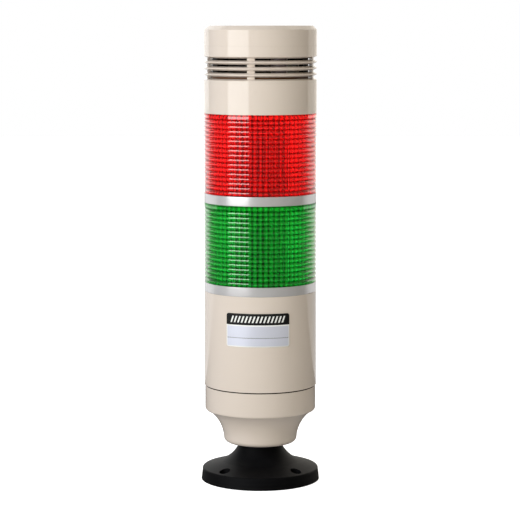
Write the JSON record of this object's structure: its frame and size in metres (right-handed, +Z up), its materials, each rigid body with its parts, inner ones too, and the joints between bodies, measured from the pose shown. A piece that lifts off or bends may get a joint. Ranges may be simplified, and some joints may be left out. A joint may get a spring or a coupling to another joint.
{
  "type": "stack light",
  "caption": "Signal tower with a flared bell base, green and red ribbed lenses, silver rings, a louvred buzzer housing and a turning lid.",
  "frame": {"origin": "centre of the base flange's bottom face, on the mounting surface", "axes": "+Z up the tower; -Y is the front, where the nameplate is; +X is to the right of the front"},
  "size_m": [0.0596, 0.0596, 0.228],
  "materials": {
    "base_plastic": "fine grained black",
    "ivory_plastic": "smooth gloss moulding",
    "silver_paint": "satin silver paint",
    "green_lens_plastic": "clear tinted",
    "red_lens_plastic": "clear tinted",
    "nameplate_foil": "satin foil with a black heading band",
    "seal_rubber": "matte",
    "zinc_steel": "zinc plated",
    "circuit_board": "solder mask",
    "phenolic_board": "paper laminate",
    "terminal_plastic": "moulded",
    "black_plastic": "moulded",
    "capacitor_sleeve": "shrink sleeve",
    "plug_plastic": "moulded",
    "led_body": "moulded"
  },
  "bodies": {
    "tower": {"base_flange": "base_plastic", "hollow_bolt": "zinc_steel", "hollow_bolt_washer": "zinc_steel", "hollow_bolt_nut": "zinc_steel", "neck_seal": "seal_rubber", "bottom_cover": "ivory_plastic", "body_housing": "ivory_plastic", "nameplate": "nameplate_foil", "control_board": "circuit_board", "terminal_block": "terminal_plastic", "terminal_screws": "zinc_steel", "flasher_relay": "black_plastic", "filter_capacitor": "capacitor_sleeve", "lower_silver_ring": "silver_paint", "green_light_board": "circuit_board", "green_light_plug": "plug_plastic", "green_light_column": "circuit_board", "green_leds": "led_body", "green_lens": "green_lens_plastic", "middle_silver_ring": "silver_paint", "red_light_board": "circuit_board", "red_light_plug": "plug_plastic", "red_light_column": "circuit_board", "red_leds": "led_body", "red_lens": "red_lens_plastic", "buzzer_housing": "ivory_plastic", "sounder_board": "phenolic_board", "sounder_board_screws": "zinc_steel", "piezo_sounder": "black_plastic", "sounder_capacitor": "capacitor_sleeve", "sounder_plug": "plug_plastic", "sound_reflector": "black_plastic", "tie_rod": "zinc_steel", "rod_top_washer": "zinc_steel", "rod_bottom_washer": "zinc_steel", "rod_top_nut": "zinc_steel", "rod_bottom_nut": "zinc_steel"},
    "lid": {"top_lid": "ivory_plastic", "lid_seal": "seal_rubber"}
  },
  "joints": [
    {"name": "lid_turn", "type": "hinge", "parent": "tower", "child": "lid", "pos_m": [0, 0, 0.2181], "axis": [0, 0, 1], "range_deg": [0, 25]}
  ]
}
